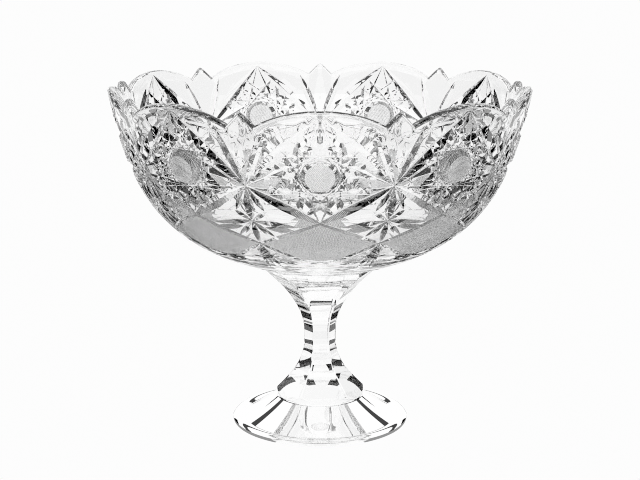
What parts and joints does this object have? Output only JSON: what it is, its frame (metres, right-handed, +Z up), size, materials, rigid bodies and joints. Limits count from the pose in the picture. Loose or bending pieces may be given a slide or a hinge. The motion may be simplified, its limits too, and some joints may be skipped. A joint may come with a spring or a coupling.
{
  "type": "footed punch bowl",
  "caption": "Footed punch bowl in clear cut crystal: a deep scalloped bowl on a waisted, flat-sided stem and a round hollow foot; it stands free and holds drinks to ladle out.",
  "frame": {"origin": "middle of the flat ring that the foot rests on", "axes": "+Z up along the axis of the bowl, stem and foot; a scallop and a star of the bowl face -Y, the front; +X to the right of a person looking at the front"},
  "size_m": [0.303, 0.3036, 0.254],
  "materials": {
    "clear_crystal": "polished clear crystal; the raised buttons and the almond panels under the stars are frosted",
    "clear_bond": "clear adhesive film between two pieces of crystal"
  },
  "bodies": {
    "root": {"bowl": "clear_crystal", "bowl_bond": "clear_bond", "stem": "clear_crystal", "foot_bond": "clear_bond", "foot": "clear_crystal"}
  },
  "joints": []
}
